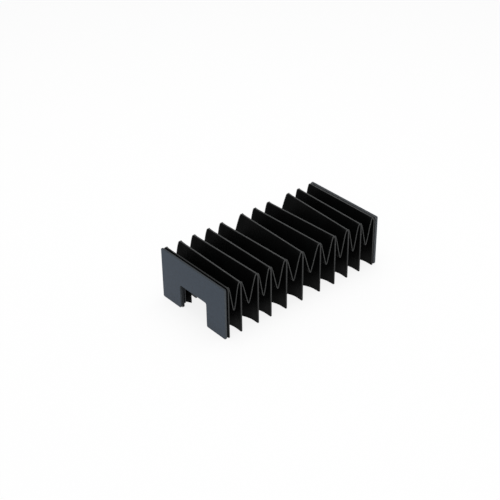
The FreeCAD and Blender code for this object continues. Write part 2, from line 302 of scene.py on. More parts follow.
# %% [markdown]
# ## Boards
#
# The end plates are slate grey PVC board with a smooth skin that mirrors the floor faintly. The
# side that faces the folds is painted a paler grey, as painted light in the narrow shade between
# plate and folds. A saw has opened the edges, which are rough and paler than the skin, and on the
# end plates that paleness is partly a painted highlight. The edges that face up are painted
# darker, as painted shade. The backing boards are black foam PVC, and the thin frames in
# the ridges are plain grey PVC. All three are one recipe: a skin colour, an inner colour, an
# edge colour that shows on faces that turn away from the board's own flat side, and a fine
# grain. The normal and the place along the cover tell the faces apart.

# %% Boards
SAWN_ROUGHNESS = 0.6


def pvc_board(name, skin, inner, edge, roughness, specular, tint, grain_mm):
    """A board with an outer skin, an inner side and sawn edges, each of its own colour. Edges
    that face up get painted shade.
    """
    material, tree, shader = new_finish(name)
    shader.inputs["IOR"].default_value = 1.53
    shader.inputs["Specular IOR Level"].default_value = specular
    shader.inputs["Specular Tint"].default_value = linear(tint)
    where = add(tree, "ShaderNodeTexCoord")
    grain = add(tree, "ShaderNodeTexNoise", {
        "Vector": where.outputs["Object"], "Scale": 1 / (grain_mm * MM), "Detail": 3.0})
    facing = add(tree, "ShaderNodeSeparateXYZ", {0: where.outputs["Normal"]})
    flat_side = add(tree, "ShaderNodeMath", {0: facing.outputs["X"]}, operation="ABSOLUTE")
    # Faces turned away from the flat side take the edge colour: paler as sawn board, and on the
    # end plates partly a painted highlight.
    sawn = add(tree, "ShaderNodeMapRange", {
        "Value": flat_side.outputs[0], "From Min": 0.6, "From Max": 0.9,
        "To Min": 1.0, "To Max": 0.0})
    place = add(tree, "ShaderNodeSeparateXYZ", {0: where.outputs["Object"]})
    outward = add(tree, "ShaderNodeMath", {0: place.outputs["X"], 1: facing.outputs["X"]},
                  operation="MULTIPLY")
    is_inner = add(tree, "ShaderNodeMath", {0: outward.outputs[0], 1: 0.0},
                   operation="LESS_THAN")
    # The side facing the folds takes the inner colour; on the end plates it is paler, painted
    # light in the narrow shade behind the folds.
    side = add(tree, "ShaderNodeMix", {
        0: is_inner.outputs[0], 6: linear(skin), 7: linear(inner)}, data_type="RGBA")
    # Painted shade: edges that face up are darkened to 0.4 of the edge colour, while upright
    # edges keep it.
    upward_edge_shade = add(tree, "ShaderNodeMapRange", {
        "Value": facing.outputs["Z"], "From Min": 0.3, "From Max": 0.9,
        "To Min": 1.0, "To Max": 0.4})
    shaded_edge_colour = add(tree, "ShaderNodeVectorMath", {0: linear(edge)[:3], 1: upward_edge_shade.outputs["Result"]},
                 operation="MULTIPLY")
    base = add(tree, "ShaderNodeMix", {
        0: sawn.outputs["Result"], 6: side.outputs[2], 7: shaded_edge_colour.outputs["Vector"]},
        data_type="RGBA")
    shade = add(tree, "ShaderNodeMapRange", {
        "Value": grain.outputs["Fac"], "To Min": 0.8, "To Max": 1.2})
    colour = add(tree, "ShaderNodeVectorMath", {
        0: base.outputs[2], 1: shade.outputs["Result"]}, operation="MULTIPLY")
    tree.links.new(colour.outputs["Vector"], shader.inputs["Base Color"])
    gloss = add(tree, "ShaderNodeMapRange", {
        "Value": sawn.outputs["Result"], "To Min": roughness, "To Max": SAWN_ROUGHNESS})
    tree.links.new(gloss.outputs["Result"], shader.inputs["Roughness"])
    bump = add(tree, "ShaderNodeBump", {
        "Height": grain.outputs["Fac"], "Strength": 0.08, "Distance": RELIEF})
    tree.links.new(bump.outputs["Normal"], shader.inputs["Normal"])
    return material


print("a sawn edge has a roughness of", SAWN_ROUGHNESS)

# %% [markdown]
# ## Boards dressed
#
# Each board keeps its mesh from the CAD model and gets the finish that its name asks for. The
# gloss of the end plates has a cool tint, the foam board is the roughest, and the frames show
# only from below.

# %% Boards dressed
# The end plates' inner colour is painted light, and their edge colour is partly a painted
# highlight.
PLATE_FINISH = pvc_board(
    "slate_pvc_board", skin="#2C3743", inner="#787B7E", edge="#4C5053",
    roughness=0.15, specular=0.18, tint="#CCE2FF", grain_mm=3.0)
# The foam board's edge colour is lightened, as painted light in the shaded gap behind the end
# plates.
BACKING_FINISH = pvc_board(
    "black_foam_pvc", skin="#101112", inner="#101112", edge="#34373A",
    roughness=0.7, specular=0.1, tint="#FFFFFF", grain_mm=0.8)
FRAME_FINISH = pvc_board(
    "grey_pvc_frame_board", skin="#1B1D1F", inner="#1B1D1F", edge="#303336",
    roughness=0.45, specular=0.3, tint="#FFFFFF", grain_mm=1.5)

for name, node in frame["nodes"].items():
    if name.endswith("end_plate"):
        finish = PLATE_FINISH
    elif name.endswith("backing_frame"):
        finish = BACKING_FINISH
    else:
        finish = FRAME_FINISH
    node.data.materials.clear()
    node.data.materials.append(finish)
print("nodes given a board's finish:", len(frame["nodes"]))

# %% [markdown]
# ## Where the folds are
#
# Each ridge of the cloth sits on a support frame, and the frames stand a little skew, because
# the cover was pulled open by hand. The cloth has to follow them exactly. So nothing is typed
# in again: a straight line is fitted through each frame's own points, which gives the place of
# its middle and its lean.

# %% Where the folds are
CLOTH = 0.35 * MM           # thickness of the coated cloth
POCKET_GAP = 0.1 * MM       # between a frame and the cloth over it
FOLD_DEPTH = 29.5 * MM      # from a ridge to the valley, down from the top and in from a flank
CREST_CORNER = 2.6 * MM     # radius of a ridge's upper corners


def ridge_line(node_name):
    """(x at the middle, x gained per metre along Y) of the plane that a frame stands in."""
    points = np.array([v.co for v in frame["nodes"][node_name].data.vertices])
    lean, middle = np.polyfit(points[:, 1], points[:, 0], 1)
    return float(middle), float(lean)


FRAME_NODES = sorted(name for name in frame["nodes"] if name.startswith("support_frame"))
RIDGES = [ridge_line(name) for name in FRAME_NODES]
BODY_OF_RIDGE = [frame["nodes"][name]["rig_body"] for name in FRAME_NODES]
skin_low, skin_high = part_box("bellows_skin")
frame_low, frame_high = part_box(FRAME_NODES[0])
HALF_WIDTH = skin_high.y
TOP = skin_high.z
FOOT = skin_low.z
POCKET = (frame_high.x - frame_low.x) / 2 + POCKET_GAP
MIDDLE_OF_CLOTH = POCKET + CLOTH / 2
print("ridges in mm:", [(round(x / MM, 1), round(lean * 100, 1)) for x, lean in RIDGES])

# %% [markdown]
# ## Plain meshes from trees
#
# The shapes that repeat are made by Geometry Nodes: one tree, and different numbers for each
# fold. Cloth is then thickened to both sides, and the result is written out as a plain mesh,
# because a fold has to bend when the cover moves, and only a plain mesh can.

# %% Plain meshes from trees
SHARP_TURN = math.radians(35)


def new_tree(name, sizes):
    """A geometry tree with a named input for each size. Returns it and its inputs by name."""
    tree = bpy.data.node_groups.new(name, "GeometryNodeTree")
    tree.interface.new_socket("Geometry", in_out="INPUT", socket_type="NodeSocketGeometry")
    for size_name, kind in sizes.items():
        tree.interface.new_socket(size_name, in_out="INPUT", socket_type=kind)
    tree.interface.new_socket("Geometry", in_out="OUTPUT", socket_type="NodeSocketGeometry")
    given = tree.nodes.new("NodeGroupInput")
    return tree, {socket.name: socket for socket in given.outputs if socket.name}


def finish_tree(tree, geometry, material):
    """Realises what the tree made, gives it its finish and hands it out."""
    real = add(tree, "GeometryNodeRealizeInstances", {0: geometry})
    painted = add(tree, "GeometryNodeSetMaterial", {
        "Geometry": real.outputs[0], "Material": material})
    add(tree, "NodeGroupOutput", {0: painted.outputs[0]})


def thicken(piece):
    """Gives bare cloth its thickness, half of it to either side."""
    solid = piece.modifiers.new("thickness", "SOLIDIFY")
    solid.thickness = CLOTH
    solid.offset = 0


def grown(name, tree, sizes, base=None, is_cloth=True):
    """Runs a tree on a base mesh and returns a plain object. Cloth gets its thickness too."""
    piece = in_scene(name, base or bpy.data.meshes.new(name))
    modifier = piece.modifiers.new("tree", "NODES")
    modifier.node_group = tree
    for item in tree.interface.items_tree:
        if item.in_out == "INPUT" and item.name in sizes:
            modifier[item.identifier] = sizes[item.name]
    if is_cloth:
        thicken(piece)
    depsgraph = bpy.context.evaluated_depsgraph_get()
    plain = bpy.data.meshes.new_from_object(piece.evaluated_get(depsgraph), depsgraph=depsgraph)
    piece.modifiers.clear()
    piece.data = plain
    plain.name = name
    plain.shade_smooth()
    plain.set_sharp_from_angle(angle=SHARP_TURN)
    return piece


print("a mesh is smooth up to a turn of", round(math.degrees(SHARP_TURN)), "degrees")

# %% [markdown]
# ## One fold of cloth
#
# A fold is the cloth between two ridges. On the roof it goes down from one ridge to the valley
# and up to the next. Each leg carries on with the same fold turned upright, and where roof and
# leg meet at the corner the spare cloth is tucked under the roof. A fold could be drawn point
# by point, but the ten are all different. So each part is a rule, and all share one idea: a
# point's place between the two ridges is a share from 0 to 1, and the ridges' own lines turn
# that share into X.

# %% One fold of cloth
NUMBER = "NodeSocketFloat"
COUNT = "NodeSocketInt"
ROOF_SIZES = {
    **dict.fromkeys(("Front ridge", "Front lean", "Rear ridge", "Rear lean"), NUMBER),
    **dict.fromkeys(("Half width", "Top", "Depth", "Corner"), NUMBER),
    **dict.fromkeys(("Edge inset", "Edge stand-off", "Valley round", "Edge fade"), NUMBER),
    **dict.fromkeys(("Rows", "Columns"), COUNT),
}
LEG_SIZES = dict.fromkeys(("Foot", "Hug", "Swing", "Layer gap"), NUMBER)


def fold_grid(tree, rows, columns):
    """A square of cloth: its mesh, each point's share of the way down to the valley, its panel
    as -1 or 1, and its share of the way across. Half a cosine wave crowds the rows towards
    ridge and valley, where the cloth bends most."""
    grid = add(tree, "GeometryNodeMeshGrid", {
        "Size X": 1.0, "Size Y": 1.0, "Vertices X": rows, "Vertices Y": columns})
    place = add(tree, "ShaderNodeSeparateXYZ", {0: grid.outputs["UV Map"]})
    along = add(tree, "ShaderNodeMath", {0: place.outputs["X"], 1: 2.0, 2: -1.0},
                operation="MULTIPLY_ADD").outputs[0]
    panel = add(tree, "ShaderNodeMath", {0: along}, operation="SIGN").outputs[0]
    from_valley = add(tree, "ShaderNodeMath", {0: along}, operation="ABSOLUTE").outputs[0]
    turn = add(tree, "ShaderNodeMath", {0: from_valley, 1: math.pi},
               operation="MULTIPLY").outputs[0]
    cosine = add(tree, "ShaderNodeMath", {0: turn}, operation="COSINE").outputs[0]
    down = add(tree, "ShaderNodeMath", {0: cosine, 1: 0.5, 2: 0.5},
               operation="MULTIPLY_ADD").outputs[0]
    return grid.outputs["Mesh"], down, panel, place.outputs["Y"]


def x_between_ridges(tree, given, spread, panel, y):
    """X of a point: spread is 0 on its own ridge and 1 at the valley."""
    near = add(tree, "ShaderNodeMath", {0: 1.0, 1: spread}, operation="SUBTRACT").outputs[0]
    signed = add(tree, "ShaderNodeMath", {0: near, 1: panel}, operation="MULTIPLY").outputs[0]
    share = add(tree, "ShaderNodeMath", {0: signed, 1: 0.5, 2: 0.5},
                operation="MULTIPLY_ADD").outputs[0]
    front = add(tree, "ShaderNodeMath", {0: y, 1: given["Front lean"], 2: given["Front ridge"]},
                operation="MULTIPLY_ADD").outputs[0]
    rear = add(tree, "ShaderNodeMath", {0: y, 1: given["Rear lean"], 2: given["Rear ridge"]},
               operation="MULTIPLY_ADD").outputs[0]
    return add(tree, "ShaderNodeMix", {0: share, 2: front, 3: rear},
               clamp_factor=False).outputs[0]


def placed(tree, mesh, x, y, z):
    """The mesh with its points moved to x, y and z."""
    spot = add(tree, "ShaderNodeCombineXYZ", {0: x, 1: y, 2: z}).outputs[0]
    return add(tree, "GeometryNodeSetPosition", {"Geometry": mesh, "Position": spot}).outputs[0]


print("a fold is given by", len(ROOF_SIZES) + len(LEG_SIZES), "sizes")

# %% [markdown]
# ## Roof
#
# The roof is the square of cloth folded once. Two things make it more than a paper fold. Its
# corners have to stay under the rounded corners of the ridges, and its edges at the flanks are
# two layers thick, too thick to fold sharply. So near the flank it stands off a little below
# the ridge and turns round the valley in a U, and further in it fades to a plain fold.

# %% Roof
EDGE_BLUNTNESS = 0.3    # the lower, the more suddenly the edge leaves the ridge


def roof_half_width(tree, given):
    """How far from the middle the roof's cloth ends."""
    return add(tree, "ShaderNodeMath", {0: given["Half width"], 1: given["Edge inset"]},
               operation="SUBTRACT").outputs[0]


def under_round_corner(tree, given, z, inward):
    """Keeps z below the ridge's rounded corner, this far in from the flank."""
    short = add(tree, "ShaderNodeMath", {0: given["Corner"], 1: inward},
                operation="SUBTRACT").outputs[0]
    leg = add(tree, "ShaderNodeMath", {0: short, 1: 0.0}, operation="MAXIMUM").outputs[0]
    leg_squared = add(tree, "ShaderNodeMath", {0: leg, 1: leg}, operation="MULTIPLY").outputs[0]
    squared = add(tree, "ShaderNodeMath", {0: given["Corner"], 1: given["Corner"]},
                  operation="MULTIPLY").outputs[0]
    rest = add(tree, "ShaderNodeMath", {0: squared, 1: leg_squared},
               operation="SUBTRACT").outputs[0]
    rise = add(tree, "ShaderNodeMath", {0: rest}, operation="SQRT").outputs[0]
    drop = add(tree, "ShaderNodeMath", {0: given["Corner"], 1: rise},
               operation="SUBTRACT").outputs[0]
    limit = add(tree, "ShaderNodeMath", {0: given["Top"], 1: drop},
                operation="SUBTRACT").outputs[0]
    return add(tree, "ShaderNodeMath", {0: z, 1: limit}, operation="MINIMUM").outputs[0]


def stood_off(tree, given, x, y, down, panel):
    """X of the roof with its thick edge near the flank."""
    both = add(tree, "ShaderNodeMath", {0: given["Edge stand-off"], 1: given["Valley round"]},
               operation="ADD").outputs[0]
    back = add(tree, "ShaderNodeMath", {0: down, 1: both}, operation="MULTIPLY").outputs[0]
    line = add(tree, "ShaderNodeMath", {0: given["Edge stand-off"], 1: back},
               operation="SUBTRACT").outputs[0]
    phase = add(tree, "ShaderNodeMath", {0: down, 1: math.pi}, operation="MULTIPLY").outputs[0]
    swell = add(tree, "ShaderNodeMath", {0: phase}, operation="SINE").outputs[0]
    above = add(tree, "ShaderNodeMath", {0: swell, 1: 0.0}, operation="MAXIMUM").outputs[0]
    blunt = add(tree, "ShaderNodeMath", {0: above, 1: EDGE_BLUNTNESS},
                operation="POWER").outputs[0]
    share = add(tree, "ShaderNodeMath", {0: blunt, 1: line}, operation="MULTIPLY").outputs[0]
    from_middle = add(tree, "ShaderNodeMath", {0: y}, operation="ABSOLUTE").outputs[0]
    edge = roof_half_width(tree, given)
    fade_start = add(tree, "ShaderNodeMath", {0: edge, 1: given["Edge fade"]},
                     operation="SUBTRACT").outputs[0]
    near_edge = add(tree, "ShaderNodeMapRange", {
        "Value": from_middle, "From Min": fade_start, "From Max": edge},
        interpolation_type="SMOOTHSTEP").outputs[0]
    push = add(tree, "ShaderNodeMath", {0: share, 1: near_edge}, operation="MULTIPLY").outputs[0]
    signed = add(tree, "ShaderNodeMath", {0: push, 1: panel}, operation="MULTIPLY").outputs[0]
    return add(tree, "ShaderNodeMath", {0: x, 1: signed}, operation="SUBTRACT").outputs[0]


def roof_part(tree, given):
    """The cloth between two ridges on top of the cover."""
    mesh, down, panel, across = fold_grid(tree, given["Rows"], given["Columns"])
    centred = add(tree, "ShaderNodeMath", {0: across, 1: 2.0, 2: -1.0},
                  operation="MULTIPLY_ADD").outputs[0]
    y = add(tree, "ShaderNodeMath", {0: centred, 1: roof_half_width(tree, given)},
            operation="MULTIPLY").outputs[0]
    straight = x_between_ridges(tree, given, down, panel, y)
    x = stood_off(tree, given, straight, y, down, panel)
    fall = add(tree, "ShaderNodeMath", {0: down, 1: given["Depth"]},
               operation="MULTIPLY").outputs[0]
    fallen = add(tree, "ShaderNodeMath", {0: given["Top"], 1: fall},
                 operation="SUBTRACT").outputs[0]
    from_middle = add(tree, "ShaderNodeMath", {0: y}, operation="ABSOLUTE").outputs[0]
    inward = add(tree, "ShaderNodeMath", {0: given["Half width"], 1: from_middle},
                 operation="SUBTRACT").outputs[0]
    z = under_round_corner(tree, given, fallen, inward)
    return placed(tree, mesh, x, y, z)


print("the roof's sizes:", ", ".join(ROOF_SIZES))

# %% [markdown]
# ## Legs and tucked corners
#
# A leg lies flat against its frame for the first few millimetres and then swings out in a
# curve, which shows at its lower edge. The tuck is the roof's spare cloth, folded back under
# the roof's edge until it meets the leg. It follows the roof's own rule one layer further down,
# so the two layers stay apart.

# %% Legs and tucked corners
LEG_COLUMNS = 3
TUCK_COLUMNS = 5


def inward_of_leg(tree, given, spread):
    """How far in from the flank a leg is, at this share of its way to the valley."""
    root = add(tree, "ShaderNodeMath", {0: 1.0, 1: given["Swing"]}, operation="DIVIDE").outputs[0]
    eased = add(tree, "ShaderNodeMath", {0: spread, 1: root}, operation="POWER").outputs[0]
    room = add(tree, "ShaderNodeMath", {0: given["Depth"], 1: given["Hug"]},
               operation="SUBTRACT").outputs[0]
    return add(tree, "ShaderNodeMath", {0: eased, 1: room, 2: given["Hug"]},
               operation="MULTIPLY_ADD").outputs[0]


def leg_part(tree, given, side):
    """The cloth between two ridges on one flank, where side is -1 or 1."""
    mesh, down, panel, upward = fold_grid(tree, given["Rows"], LEG_COLUMNS)
    inward = add(tree, "ShaderNodeMath", {0: down, 1: given["Depth"]},
                 operation="MULTIPLY").outputs[0]
    swung = add(tree, "ShaderNodeMapRange", {
        "Value": inward, "From Min": given["Hug"], "From Max": given["Depth"]}).outputs[0]
    spread = add(tree, "ShaderNodeMath", {0: swung, 1: given["Swing"]},
                 operation="POWER").outputs[0]
    from_middle = add(tree, "ShaderNodeMath", {0: given["Half width"], 1: inward},
                      operation="SUBTRACT").outputs[0]
    y = add(tree, "ShaderNodeMath", {0: from_middle, 1: side}, operation="MULTIPLY").outputs[0]
    x = x_between_ridges(tree, given, spread, panel, y)
    fall = add(tree, "ShaderNodeMath", {0: spread, 1: given["Depth"]},
               operation="MULTIPLY").outputs[0]
    fallen = add(tree, "ShaderNodeMath", {0: given["Top"], 1: fall},
                 operation="SUBTRACT").outputs[0]
    mitre = under_round_corner(tree, given, fallen, inward)
    z = add(tree, "ShaderNodeMix", {0: upward, 2: given["Foot"], 3: mitre}).outputs[0]
    return placed(tree, mesh, x, y, z)


def tucked_part(tree, given, side):
    """The spare cloth at one corner, from the roof's edge inwards to the leg."""
    mesh, down, panel, inner = fold_grid(tree, given["Rows"], TUCK_COLUMNS)
    reach = inward_of_leg(tree, given, down)
    inward = add(tree, "ShaderNodeMix", {0: inner, 2: given["Edge inset"], 3: reach}).outputs[0]
    from_middle = add(tree, "ShaderNodeMath", {0: given["Half width"], 1: inward},
                      operation="SUBTRACT").outputs[0]
    y = add(tree, "ShaderNodeMath", {0: from_middle, 1: side}, operation="MULTIPLY").outputs[0]
    straight = x_between_ridges(tree, given, down, panel, y)
    over_it = stood_off(tree, given, straight, y, down, panel)
    apart = add(tree, "ShaderNodeMath", {0: panel, 1: down}, operation="MULTIPLY").outputs[0]
    x = add(tree, "ShaderNodeMath", {0: apart, 1: given["Layer gap"], 2: over_it},
            operation="MULTIPLY_ADD").outputs[0]
    fall = add(tree, "ShaderNodeMath", {0: down, 1: given["Depth"]},
               operation="MULTIPLY").outputs[0]
    above = add(tree, "ShaderNodeMath", {0: given["Top"], 1: fall},
                operation="SUBTRACT").outputs[0]
    z = add(tree, "ShaderNodeMath", {0: above, 1: given["Layer gap"]},
            operation="SUBTRACT").outputs[0]
    return placed(tree, mesh, x, y, z)


print("the legs' sizes:", ", ".join(LEG_SIZES))

# %% [markdown]
# ## Ten folds
#
# The five parts of a fold are joined in one tree. It grows once for every gap between two
# ridges, each time with the numbers of that gap.

# %% Ten folds
fold_tree, given = new_tree("fold_of_cloth", {**ROOF_SIZES, **LEG_SIZES})
parts = [roof_part(fold_tree, given)]
parts += [leg_part(fold_tree, given, side) for side in (-1.0, 1.0)]
parts += [tucked_part(fold_tree, given, side) for side in (-1.0, 1.0)]
joined = add(fold_tree, "GeometryNodeJoinGeometry")
for part in parts:
    fold_tree.links.new(part, joined.inputs[0])
finish_tree(fold_tree, joined.outputs[0], CLOTH_FINISH)

ROOF_DEPTH = FOLD_DEPTH - CLOTH * 1.5   # puts the valley's underside at the full depth
HUG = 7.5 * MM                          # how far in a leg lies against its frame
SWING = 1.7                             # 1 would swing a leg out in a straight line
LAYER_GAP = CLOTH * 1.15                # between the middles of the roof's and the tuck's cloth
EDGE_INSET = 1.5 * MM                   # the roof's edge, in from the flank
EDGE_STAND_OFF = 1.6 * MM               # how far the thick edge keeps from its ridge's line
VALLEY_ROUND = 0.9 * MM                 # and how far from the valley's
EDGE_FADE = 9 * MM                      # width in which the roof goes back to a plain fold
PANEL_ROWS = 33
ROOF_COLUMNS = 31


def fold_sizes(number):
    """The numbers of the fold between ridge number - 1 and ridge number."""
    front, rear = RIDGES[number - 1], RIDGES[number]
    return {
        "Front ridge": front[0] + MIDDLE_OF_CLOTH,
        "Front lean": front[1],
        "Rear ridge": rear[0] - MIDDLE_OF_CLOTH,
        "Rear lean": rear[1],
        "Half width": HALF_WIDTH - CLOTH,
        "Top": TOP - CLOTH,
        "Foot": FOOT,
        "Depth": ROOF_DEPTH,
        "Corner": CREST_CORNER - CLOTH / 2,
        "Hug": HUG,
        "Swing": SWING,
        "Layer gap": LAYER_GAP,
        "Edge inset": EDGE_INSET,
        "Edge stand-off": EDGE_STAND_OFF,
        "Valley round": VALLEY_ROUND,
        "Edge fade": EDGE_FADE,
        "Rows": PANEL_ROWS,
        "Columns": ROOF_COLUMNS,
    }


FOLDS = [grown("fold_%02d_cloth" % number, fold_tree, fold_sizes(number))
         for number in range(1, len(RIDGES))]
print("one fold has", len(FOLDS[0].data.polygons), "faces")

# %% [markdown]
# ## V edges
#
# On the flank, the roof's cloth turns back under itself. The turned edge is two layers thick
# and round, and draws a V on the flank of every fold. It could be a path of its own, but then
# each change to the roof would leave it behind. So its tree makes the same roof again, keeps
# only the outermost line of it on either side, and sweeps a small circle along that.

# %% V edges
EDGE_RADIUS = 0.5 * MM
EDGE_START = 0.005          # where it starts, as a share of the way down to the valley
EDGE_SIDES = 12
SAME_PLACE = 0.01 * MM      # a point this near to the roof's end is on it

edge_tree, given = new_tree("turned_edge", {
    **ROOF_SIZES, "Edge radius": NUMBER, "Start": NUMBER})
roof = roof_part(edge_tree, given)
spot = add(edge_tree, "ShaderNodeSeparateXYZ", {
    0: add(edge_tree, "GeometryNodeInputPosition").outputs[0]})
from_middle = add(edge_tree, "ShaderNodeMath", {0: spot.outputs["Y"]}, operation="ABSOLUTE")
outermost = add(edge_tree, "FunctionNodeCompare", {
    0: from_middle.outputs[0], 1: roof_half_width(edge_tree, given), "Epsilon": SAME_PLACE},
    data_type="FLOAT", operation="EQUAL")
start_depth = add(edge_tree, "ShaderNodeMath", {0: given["Depth"], 1: given["Start"]},
                  operation="MULTIPLY")
start_height = add(edge_tree, "ShaderNodeMath", {0: given["Top"], 1: start_depth.outputs[0]},
                   operation="SUBTRACT")
below_ridge = add(edge_tree, "FunctionNodeCompare", {
    0: spot.outputs["Z"], 1: start_height.outputs[0]}, data_type="FLOAT",
    operation="LESS_THAN")
kept = add(edge_tree, "FunctionNodeBooleanMath", {
    0: outermost.outputs[0], 1: below_ridge.outputs[0]}, operation="AND")
path = add(edge_tree, "GeometryNodeMeshToCurve", {"Mesh": roof, "Selection": kept.outputs[0]})
section = add(edge_tree, "GeometryNodeCurvePrimitiveCircle", {
    "Resolution": EDGE_SIDES, "Radius": given["Edge radius"]})
swept = add(edge_tree, "GeometryNodeCurveToMesh", {
    "Curve": path.outputs[0], "Profile Curve": section.outputs[0], "Fill Caps": True})
finish_tree(edge_tree, swept.outputs[0], EDGE_FINISH)

FOLD_EDGES = [
    grown("fold_%02d_edges" % number, edge_tree, {
        **fold_sizes(number), "Edge radius": EDGE_RADIUS, "Start": EDGE_START, "Columns": 2},
        is_cloth=False)
    for number in range(1, len(RIDGES))]
print("one pair of V edges has", len(FOLD_EDGES[0].data.polygons), "faces")

# %% [markdown]
# ## Section of a ridge
#
# Over each frame the cloth makes a narrow channel: a flat crest a little wider than the frame,
# a rounded crease at either side of it, and a short skirt below. The section could be drawn by
# hand and scaled, but then its round would change with the frame's thickness. So it is a rule:
# walk along it from the middle, go flat, then round, then straight down the skirt.

# %% Section of a ridge
CREST_ROUND = 0.32 * MM
SKIRT = 0.5 * MM
SECTION_POINTS = 15

ridge_tree, given = new_tree("ridge_channel", {
    **dict.fromkeys(("Corner", "Half width", "Round", "Skirt"), NUMBER), "Points": COUNT})
flat_half = add(ridge_tree, "ShaderNodeMath", {0: given["Half width"], 1: given["Round"]},
                operation="SUBTRACT").outputs[0]
quarter = add(ridge_tree, "ShaderNodeMath", {0: given["Round"], 1: math.pi / 2},
              operation="MULTIPLY").outputs[0]
flat_and_round = add(ridge_tree, "ShaderNodeMath", {0: flat_half, 1: quarter},
                     operation="ADD").outputs[0]
half_walk = add(ridge_tree, "ShaderNodeMath", {0: flat_and_round, 1: given["Skirt"]},
                operation="ADD").outputs[0]
line = add(ridge_tree, "GeometryNodeMeshLine", {"Count": given["Points"]}, mode="END_POINTS",
           count_mode="TOTAL")
index = add(ridge_tree, "GeometryNodeInputIndex").outputs[0]
last = add(ridge_tree, "ShaderNodeMath", {0: given["Points"], 1: 1.0},
           operation="SUBTRACT").outputs[0]
walk = add(ridge_tree, "ShaderNodeMapRange", {
    "Value": index, "From Min": 0.0, "From Max": last, "To Min": -1.0, "To Max": 1.0}).outputs[0]
walked = add(ridge_tree, "ShaderNodeMath", {0: walk, 1: half_walk},
             operation="MULTIPLY").outputs[0]
far = add(ridge_tree, "ShaderNodeMath", {0: walked}, operation="ABSOLUTE").outputs[0]
hand = add(ridge_tree, "ShaderNodeMath", {0: walked}, operation="SIGN").outputs[0]
past_flat = add(ridge_tree, "ShaderNodeMath", {0: far, 1: flat_half},
                operation="SUBTRACT").outputs[0]
turned = add(ridge_tree, "ShaderNodeMath", {0: past_flat, 1: given["Round"]},
             operation="DIVIDE").outputs[0]
angle = add(ridge_tree, "ShaderNodeClamp", {
    "Value": turned, "Min": 0.0, "Max": math.pi / 2}).outputs[0]
sine = add(ridge_tree, "ShaderNodeMath", {0: angle}, operation="SINE").outputs[0]
cosine = add(ridge_tree, "ShaderNodeMath", {0: angle}, operation="COSINE").outputs[0]
on_flat = add(ridge_tree, "ShaderNodeMath", {0: far, 1: flat_half},
              operation="MINIMUM").outputs[0]
out = add(ridge_tree, "ShaderNodeMath", {0: sine, 1: given["Round"], 2: on_flat},
          operation="MULTIPLY_ADD").outputs[0]
sideways = add(ridge_tree, "ShaderNodeMath", {0: out, 1: hand}, operation="MULTIPLY").outputs[0]
dropped = add(ridge_tree, "ShaderNodeMath", {0: 1.0, 1: cosine}, operation="SUBTRACT").outputs[0]
past_round = add(ridge_tree, "ShaderNodeMath", {0: far, 1: flat_and_round},
                 operation="SUBTRACT").outputs[0]
on_skirt = add(ridge_tree, "ShaderNodeMath", {0: past_round, 1: 0.0},
               operation="MAXIMUM").outputs[0]
depth = add(ridge_tree, "ShaderNodeMath", {0: dropped, 1: given["Round"], 2: on_skirt},
            operation="MULTIPLY_ADD").outputs[0]
spot = add(ridge_tree, "ShaderNodeCombineXYZ", {0: sideways, 1: depth}).outputs[0]
shaped = add(ridge_tree, "GeometryNodeSetPosition", {
    "Geometry": line.outputs[0], "Position": spot})
section = add(ridge_tree, "GeometryNodeMeshToCurve", {0: shaped.outputs[0]})
half_length = MIDDLE_OF_CLOTH - CREST_ROUND + math.pi / 2 * CREST_ROUND + SKIRT
print("half the section is", round(half_length / MM, 2), "mm of cloth")

# %% [markdown]
# ## Ridges
#
# A channel runs up one leg, round the corner, across the roof and down the other leg. The path
# is three straight edges that lean as the frame does, and the tree rounds its two corners and
# sweeps the section along it. So a ridge needs only its place and its lean.

# %% Ridges
CORNER_POINTS = 8

path = add(ridge_tree, "GeometryNodeMeshToCurve", {0: given["Geometry"]})
bent = add(ridge_tree, "GeometryNodeFilletCurve", {
    "Curve": path.outputs[0], "Radius": given["Corner"], "Count": CORNER_POINTS,
    "Limit Radius": True}, mode="POLY")
swept = add(ridge_tree, "GeometryNodeCurveToMesh", {
    "Curve": bent.outputs[0], "Profile Curve": section.outputs[0]})
finish_tree(ridge_tree, swept.outputs[0], CREST_FINISH)


def ridge_path(name, middle, lean):
    """Bare edges up one leg, across the roof and down the other leg."""
    edge = HALF_WIDTH - CLOTH / 2
    top = TOP - CLOTH / 2
    corners = [(-edge, FOOT), (-edge, top), (edge, top), (edge, FOOT)]
    mesh = bpy.data.meshes.new(name)
    mesh.from_pydata([(middle + lean * y, y, z) for y, z in corners],
                     [(0, 1), (1, 2), (2, 3)], [])
    return mesh


def ridge_channel(number):
    """The cloth over one frame."""
    name = "ridge_%02d_crest" % number
    return grown(name, ridge_tree, {
        "Corner": CREST_CORNER,
        "Half width": MIDDLE_OF_CLOTH,
        "Round": CREST_ROUND,
        "Skirt": SKIRT,
        "Points": SECTION_POINTS,
    }, base=ridge_path(name, *RIDGES[number]))


CRESTS = [ridge_channel(number) for number in range(len(RIDGES))]
# The first ridge gets the finish with painted shade behind the end plate.
CRESTS[0].data.materials[0] = PLATE_SHADED_FINISH
points = np.array([v.co for v in CRESTS[0].data.vertices]) / MM
print(CRESTS[0].name, "goes from", points.min(0).round(2), "to", points.max(0).round(2), "mm")

# %% [markdown]
# ## End flanges
#
# At each end the cloth turns flat against the backing board and is glued there. The flange is
# the same inverted U as the board. It could be a slab with a slot cut out of it, but a flat
# piece needs no more than one outline, with round upper corners. That is filled and given the
# cloth's thickness.

# %% End flanges
CORNER_STEPS = 6


